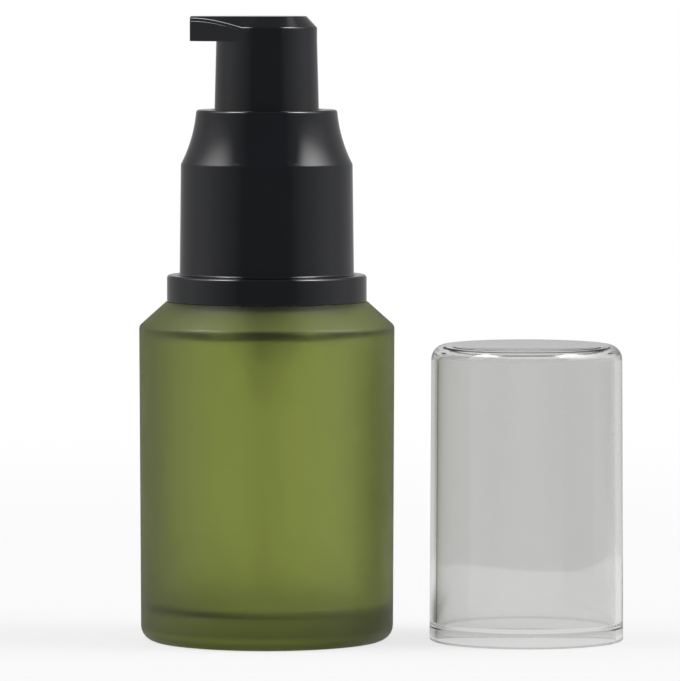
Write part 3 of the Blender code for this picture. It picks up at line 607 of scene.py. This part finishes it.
def noise(tree, scale, detail, stretch=(1, 1, 1)):
    """The factor of a noise in the object's own space, with that many features to the metre."""
    place = tree.nodes.new("ShaderNodeTexCoord")
    mapping = tree.nodes.new("ShaderNodeMapping")
    mapping.inputs["Scale"].default_value = stretch
    texture = tree.nodes.new("ShaderNodeTexNoise")
    texture.inputs["Scale"].default_value = scale
    texture.inputs["Detail"].default_value = detail
    tree.links.new(place.outputs["Object"], mapping.inputs["Vector"])
    tree.links.new(mapping.outputs["Vector"], texture.inputs["Vector"])
    return texture.outputs["Fac"]


def spread(tree, factor, low, high):
    """Maps a noise's middle range to the values from low to high."""
    node = tree.nodes.new("ShaderNodeMapRange")
    node.inputs["From Min"].default_value = NOISE_MIDDLE[0]
    node.inputs["From Max"].default_value = NOISE_MIDDLE[1]
    node.inputs["To Min"].default_value = low
    node.inputs["To Max"].default_value = high
    tree.links.new(factor, node.inputs["Value"])
    return node.outputs["Result"]


def mix_colours(tree, factor, low, high):
    """A colour between two, by a factor from 0 to 1."""
    node = tree.nodes.new("ShaderNodeMix")
    node.data_type = "RGBA"
    node.inputs[MIX_LOW].default_value = (*low, 1)
    node.inputs[MIX_HIGH].default_value = (*high, 1)
    tree.links.new(factor, node.inputs[0])
    return node.outputs[MIX_RESULT]


def blend_colours(tree, factor, low, high):
    """A colour between two, by the noise's middle range."""
    return mix_colours(tree, spread(tree, factor, 0, 1), low, high)


def bump(tree, shader, factor, height, strength):
    """Relief on the shader's normal, height metres deep."""
    node = tree.nodes.new("ShaderNodeBump")
    node.inputs["Distance"].default_value = height
    node.inputs["Strength"].default_value = strength
    tree.links.new(factor, node.inputs["Height"])
    tree.links.new(node.outputs["Normal"], shader.inputs["Normal"])


def absorb(tree, colour, density):
    """Fills the piece with a medium that takes up light along its way through."""
    volume = tree.nodes.new("ShaderNodeVolumeAbsorption")
    volume.inputs["Color"].default_value = (*colour, 1)
    volume.inputs["Density"].default_value = density
    tree.links.new(volume.outputs["Volume"], tree.nodes["Material Output"].inputs["Volume"])


def frosted_glass():
    """Green glass: an etched skin outside, which holds most of the green, and a smooth inside."""
    material, tree, shader = shader_of("frosted_green_glass")
    etched = tree.nodes.new("ShaderNodeAttribute")
    etched.attribute_name = ETCHED
    share = etched.outputs["Fac"]
    colour = mix_colours(tree, share, GLASS_INSIDE, GLASS_SKIN)
    tree.links.new(colour, shader.inputs["Base Color"])
    skin = spread(tree, noise(tree, *GLASS_SKIN_PATCHES), *GLASS_SKIN_ROUGHNESS)
    inside = spread(tree, noise(tree, *GLASS_INSIDE_PATCHES), *GLASS_INSIDE_ROUGHNESS)
    tree.links.new(choose(tree, share, inside, skin), shader.inputs["Roughness"])
    shader.inputs["Transmission Weight"].default_value = 1.0
    shader.inputs["IOR"].default_value = GLASS_IOR
    bump(tree, shader, noise(tree, *ETCH_GRAIN), ETCH_DEPTH, ETCH_STRENGTH)
    absorb(tree, GLASS_MEDIUM, GLASS_MEDIUM_DENSITY)
    return material


def gloss_black():
    """Black plastic from a polished mould, with faint unevenness in its gloss."""
    material, tree, shader = shader_of("gloss_black_plastic")
    colour = blend_colours(tree, noise(tree, *BLACK_PATCHES), BLACK_LOW, BLACK_HIGH)
    tree.links.new(colour, shader.inputs["Base Color"])
    gloss = spread(tree, noise(tree, *GLOSS_PATCHES), *GLOSS_ROUGHNESS)
    tree.links.new(gloss, shader.inputs["Roughness"])
    bump(tree, shader, noise(tree, *MOULD_WAVES), MOULD_WAVE_DEPTH, MOULD_WAVE_STRENGTH)
    return material


def clear_plastic():
    """Clear moulded plastic that greys what shows through it, with faint flow waves."""
    material, tree, shader = shader_of("clear_plastic")
    shader.inputs["Base Color"].default_value = (*CLEAR_COLOUR, 1)
    shader.inputs["Transmission Weight"].default_value = 1.0
    shader.inputs["IOR"].default_value = CLEAR_IOR
    dulling = spread(tree, noise(tree, *CLEAR_PATCHES), *CLEAR_ROUGHNESS)
    tree.links.new(dulling, shader.inputs["Roughness"])
    bump(tree, shader, noise(tree, *FLOW_WAVES), FLOW_DEPTH, FLOW_STRENGTH)
    return material


def natural_plastic(name, colour, roughness, translucence):
    """Uncoloured plastic with a dull moulded skin, which lets that share of the light through."""
    material, tree, shader = shader_of(name)
    darker = [NATURAL_SHADE * value for value in colour]
    patches = noise(tree, *NATURAL_PATCHES)
    tree.links.new(blend_colours(tree, patches, darker, colour), shader.inputs["Base Color"])
    low, high = (share * roughness for share in NATURAL_ROUGHNESS_SHARES)
    grain = spread(tree, noise(tree, *NATURAL_GRAIN), low, high)
    tree.links.new(grain, shader.inputs["Roughness"])
    shader.inputs["Transmission Weight"].default_value = translucence
    shader.inputs["IOR"].default_value = NATURAL_IOR
    relief = noise(tree, *NATURAL_RELIEF)
    bump(tree, shader, relief, NATURAL_RELIEF_DEPTH, NATURAL_RELIEF_STRENGTH)
    return material


def steel():
    """Bright steel with fine drawing marks."""
    material, tree, shader = shader_of("stainless_steel")
    shader.inputs["Metallic"].default_value = 1.0
    colour = blend_colours(tree, noise(tree, *STEEL_PATCHES), STEEL_LOW, STEEL_HIGH)
    tree.links.new(colour, shader.inputs["Base Color"])
    marks = noise(tree, *DRAWING_MARKS)
    tree.links.new(spread(tree, marks, *STEEL_ROUGHNESS), shader.inputs["Roughness"])
    return material


def paint(obj, material):
    obj.data.materials.clear()
    obj.data.materials.append(material)


def mark_etched(bottle):
    """Marks the bottle's outer faces, not those that look towards its axis or line its floor."""
    shares = []
    for face in bottle.data.polygons:
        centre, normal = face.center, face.normal
        inward = centre.x * normal.x + centre.y * normal.y < -INWARD_SHARE * centre.xy.length
        on_floor = abs(centre.z - BASE_THICKNESS) < WELD_DISTANCE
        shares.append(0.0 if inward or on_floor else 1.0)
    bottle.data.attributes.new(ETCHED, "FLOAT", "FACE").data.foreach_set("value", shares)


def calculate(tree, operation, *values):
    """The output of a math node on sockets or plain numbers."""
    node = tree.nodes.new("ShaderNodeMath")
    node.operation = operation
    for value, socket in zip(values, node.inputs):
        if isinstance(value, (int, float)):
            socket.default_value = value
        else:
            tree.links.new(value, socket)
    return node.outputs[0]


def fade(tree, value, start, end):
    """0 at start and 1 at end of a value's range, with a soft rise."""
    node = tree.nodes.new("ShaderNodeMapRange")
    node.interpolation_type = "SMOOTHSTEP"
    node.inputs["From Min"].default_value = start
    node.inputs["From Max"].default_value = end
    tree.links.new(value, node.inputs["Value"])
    return node.outputs["Result"]


def choose(tree, factor, low, high):
    """A brightness between low at 0 and high at 1, each a socket or a plain number."""
    return calculate(tree, "MULTIPLY_ADD", calculate(tree, "SUBTRACT", high, low), factor, low)


# The studio by the direction round the object, in degrees from the photographed side towards +X
AMBIENT = (
    (-180, 0.50), (-160, 0.36), (-144, 0.34), (-112, 0.48), (-96, 0.62), (-84, 0.62), (-64, 0.50),
    (-48, 0.38), (-36, 0.27), (-33, 0.21), (33, 0.21), (36, 0.28), (48, 0.42), (64, 0.55),
    (80, 0.68), (96, 0.68), (112, 0.52), (144, 0.40), (160, 0.40), (180, 0.50),
)
SOFTBOXES = (
    (-132, 0), (-112, 0.26), (-104, 0.40), (-96, 0.55), (-88, 0.62), (-80, 0.62), (-72, 0.47),
    (-64, 0.24), (-56, 0.05), (-50, 0), (50, 0), (54, 0.10), (60, 0.44), (64, 0.71), (72, 0.95),
    (80, 1.0), (88, 0.89), (96, 0.65), (104, 0.42), (112, 0.20), (126, 0),
)
SOFTBOX_LEVEL = 5.5
# Each soft box by its height above the horizon, in degrees
SOFTBOX_RISE = (
    (10, 0), (20, 0.08), (25, 0.22), (30, 0.5), (35, 0.75), (40, 0.95), (45, 1.0), (55, 1.0),
    (64, 0),
)
# The bright strips along the soft boxes' upper edge, which show in the reflections of thin edges
STRIPS = ((-104, 0), (-92, 1), (-60, 1), (-47, 0), (47, 0), (60, 1), (92, 1), (104, 0))
STRIP_RISE = ((46, 0), (50, 1), (60, 1), (65, 0))
STRIP_LEVEL = 15
CEILING_LEVEL = 0.3
CEILING_RISE = (50, 75)
TURN_RANGE = (-180, 180)
RISE_RANGE = (0, 90)


def curve(tree, value, stops, start, end):
    """A brightness curve through (place, brightness) stops, over places from start to end."""
    share = calculate(tree, "DIVIDE", calculate(tree, "SUBTRACT", value, start), end - start)
    ramp = tree.nodes.new("ShaderNodeValToRGB")
    elements = ramp.color_ramp.elements
    elements.remove(elements[1])
    for index, (place, level) in enumerate(stops):
        position = (place - start) / (end - start)
        element = elements.new(position) if index else elements[0]
        element.position = position
        element.color = (level, level, level, 1)
    tree.links.new(share, ramp.inputs[0])
    return ramp.outputs[0]


def direction_parts(tree, place):
    """The X, Y and Z of the direction towards a place, which is one long."""
    direction = tree.nodes.new("ShaderNodeVectorMath")
    direction.operation = "NORMALIZE"
    tree.links.new(place, direction.inputs[0])
    split = tree.nodes.new("ShaderNodeSeparateXYZ")
    tree.links.new(direction.outputs[0], split.inputs[0])
    return split.outputs


def studio_light(tree, place):
    """The brightness in a direction: dim in front, with a soft box high on either side."""
    x, y, z = direction_parts(tree, place)
    front = calculate(tree, "MULTIPLY", y, -1)
    turn = calculate(tree, "DEGREES", calculate(tree, "ARCTAN2", x, front))
    rise = calculate(tree, "DEGREES", calculate(tree, "ARCSINE", z))
    ambient = curve(tree, turn, AMBIENT, *TURN_RANGE)
    ambient = choose(tree, fade(tree, rise, *CEILING_RISE), ambient, CEILING_LEVEL)
    boxes = curve(tree, turn, SOFTBOXES, *TURN_RANGE)
    boxes = calculate(tree, "MULTIPLY", boxes, curve(tree, rise, SOFTBOX_RISE, *RISE_RANGE))
    level = calculate(tree, "MULTIPLY_ADD", boxes, SOFTBOX_LEVEL, ambient)
    glossy = tree.nodes.new("ShaderNodeLightPath").outputs["Is Glossy Ray"]
    strips = curve(tree, turn, STRIPS, *TURN_RANGE)
    strips = calculate(tree, "MULTIPLY", strips, curve(tree, rise, STRIP_RISE, *RISE_RANGE))
    strips = calculate(tree, "MULTIPLY", strips, glossy)
    return calculate(tree, "MULTIPLY_ADD", strips, STRIP_LEVEL, level)


# The backdrop and table as they show through the glass, and the edge between them
TABLE_END = 0.106
TABLE_END_WAVE = 0.02
TABLE_END_WAVES = (30, 1)
TABLE_LEVEL = 1.04
BACKDROP_LEVEL = 0.845
LEFT_SHARE = 0.42
LEFT_REACH = (-0.65, -0.05)


def left_fall(tree, place):
    """The share of the backdrop's light in a direction, less towards the left."""
    rightness = fade(tree, direction_parts(tree, place)["X"], *LEFT_REACH)
    return choose(tree, rightness, LEFT_SHARE, 1.0)


def make_world():
    """A pale studio, pure white where the camera looks at it."""
    world = bpy.data.worlds.new("studio")
    bpy.context.scene.world = world
    world.use_nodes = True
    tree = world.node_tree
    place = tree.nodes.new("ShaderNodeTexCoord").outputs["Generated"]
    path = tree.nodes.new("ShaderNodeLightPath")
    backdrop = calculate(tree, "MULTIPLY", left_fall(tree, place), BACKDROP_LEVEL)
    level = choose(tree, path.outputs["Is Transmission Ray"], studio_light(tree, place), backdrop)
    level = choose(tree, path.outputs["Is Camera Ray"], level, 1.0)
    tree.links.new(level, tree.nodes["Background"].inputs["Color"])


# The shadow painted under the bottle, as it shows through the glass, and the wide soft real one
# round it
SHADOW_SHARE = 0.25
PAINTED_SHADOW_LEVEL = 0.12
PAINTED_SHADOW_REACH = (0.016, 0.070)
PAINTED_SHADOW_CENTRE = (-0.010, 0.014, 0)
PAINTED_SHADOW_END = (0.010, 0.022)  # by X, so that the overcap stands beside the painted shadow
SHADOW_REACH = (0.10, 0.45)
FLOOR_RADIUS = 60.0
FLOOR_COLOUR = (0.93, 0.93, 0.93)


def make_floor():
    """A wide pale floor that keeps the object's shadow, with the table's end behind it and painted
    shadow and light.
    """
    mesh = bpy.data.meshes.new("floor")
    work = bmesh.new()
    bmesh.ops.create_circle(work, cap_ends=True, segments=ROUND_SEGMENTS, radius=FLOOR_RADIUS)
    work.to_mesh(mesh)
    work.free()
    floor = mesh_object("floor", mesh)
    material, tree, shader = shader_of("pale_floor")
    shader.inputs["Base Color"].default_value = (*FLOOR_COLOUR, 1)
    shader.inputs["Roughness"].default_value = 1.0
    shader.inputs["Specular IOR Level"].default_value = 0
    place = tree.nodes.new("ShaderNodeTexCoord").outputs["Object"]
    path = tree.nodes.new("ShaderNodeLightPath")
    split = tree.nodes.new("ShaderNodeSeparateXYZ")
    tree.links.new(place, split.inputs[0])
    half_wave = TABLE_END_WAVE / 2
    wave = spread(tree, noise(tree, *TABLE_END_WAVES), -half_wave, half_wave)
    behind = calculate(tree, "ADD", split.outputs["Y"], wave)
    past_end = fade(tree, behind, TABLE_END, TABLE_END + half_wave)
    table = choose(tree, past_end, TABLE_LEVEL, BACKDROP_LEVEL)
    table = calculate(tree, "MULTIPLY", table, left_fall(tree, place))
    # Seen through the glass, the table's glow is darkened round the bottle's foot: a painted shadow
    distance = tree.nodes.new("ShaderNodeVectorMath")
    distance.operation = "DISTANCE"
    distance.inputs[1].default_value = PAINTED_SHADOW_CENTRE
    tree.links.new(place, distance.inputs[0])
    away = distance.outputs["Value"]
    beside = fade(tree, split.outputs["X"], *PAINTED_SHADOW_END)
    lit = calculate(tree, "MAXIMUM", fade(tree, away, *PAINTED_SHADOW_REACH), beside)
    table = calculate(tree, "MULTIPLY", table, choose(tree, lit, PAINTED_SHADOW_LEVEL, 1.0))
    # Seen in reflections, the floor glows with the studio's brightness by direction, dim in front
    # and lighter towards the sides: painted light
    level = choose(tree, path.outputs["Is Transmission Ray"], studio_light(tree, place), table)
    level = choose(tree, path.outputs["Is Camera Ray"], level, 1.0)
    white = tree.nodes.new("ShaderNodeEmission")
    tree.links.new(level, white.inputs["Color"])
    share = choose(tree, fade(tree, away, *SHADOW_REACH), 1 - SHADOW_SHARE, 1.0)
    seen = calculate(tree, "MAXIMUM", path.outputs["Is Camera Ray"], path.outputs["Is Glossy Ray"])
    seen = calculate(tree, "MAXIMUM", seen, path.outputs["Is Transmission Ray"])
    mix = tree.nodes.new("ShaderNodeMixShader")
    tree.links.new(calculate(tree, "MULTIPLY", share, seen), mix.inputs[0])
    tree.links.new(shader.outputs[0], mix.inputs[1])
    tree.links.new(white.outputs[0], mix.inputs[2])
    tree.links.new(mix.outputs[0], tree.nodes["Material Output"].inputs["Surface"])
    paint(floor, material)


# Light that is led along inside the clear plastic turns back many times
GLOSSY_BOUNCES = 16
TRANSMISSION_BOUNCES = 20
MOST_BOUNCES = 24


def make_camera():
    data = bpy.data.cameras.new("camera")
    data.sensor_width = SENSOR_MM
    data.lens = FOCAL_PIXELS * SENSOR_MM / PHOTO_SIZE
    data.clip_start = CLIP_START
    data.clip_end = CLIP_END
    camera = bpy.data.objects.new("camera", data)
    camera.location = (CAMERA_SIDE, -CAMERA_DISTANCE, CAMERA_HEIGHT)
    camera.rotation_euler = (math.pi / 2 - CAMERA_PITCH, 0, 0)
    bpy.context.scene.collection.objects.link(camera)
    bpy.context.scene.camera = camera


def dress(piece, body, node, material):
    """Paints a piece, rides it on its body and lets it stand for its node."""
    even_normals(piece)
    paint(piece, material)
    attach(piece, body)
    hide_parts(node)


make_camera()
make_world()
make_floor()

glass = frosted_glass()
black = gloss_black()
clear = clear_plastic()
milky = natural_plastic("natural_plastic", *MILKY)
seal = natural_plastic("seal_plastic", *SEAL)
pale = natural_plastic("pale_plastic", *PALE)
bright = steel()

bottle = make_bottle()
dress(bottle, "bottle", "bottle", glass)
mark_etched(bottle)
dress(make_ring(), "closure", "base_ring", black)
dress(make_shroud(), "closure", "shroud", black)
dress(make_overcap(), "overcap", "overcap", clear)
dress(make_head(), "actuator", "actuator_shell", black)
dress(make_nozzle(), "actuator", "nozzle_insert", black)

CARRIED = (
    (black, ("screw_closure", "actuator_core")),
    (milky, ("lock_ring", "stem", "piston_rod")),
    (pale, ("pump_housing", "dip_tube")),
    (seal, ("neck_gasket", "piston")),
    (bright, ("return_spring", "inlet_ball")),
)
for material, names in CARRIED:
    for name in names:
        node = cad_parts[name]
        paint(node, material)
        node.data.shade_smooth()
        node.data.set_sharp_from_angle(angle=SMOOTH_ANGLE)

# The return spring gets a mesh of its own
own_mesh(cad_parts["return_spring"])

scene = bpy.context.scene
scene.view_settings.view_transform = "Standard"
scene.cycles.glossy_bounces = GLOSSY_BOUNCES
scene.cycles.transmission_bounces = TRANSMISSION_BOUNCES
scene.cycles.max_bounces = MOST_BOUNCES
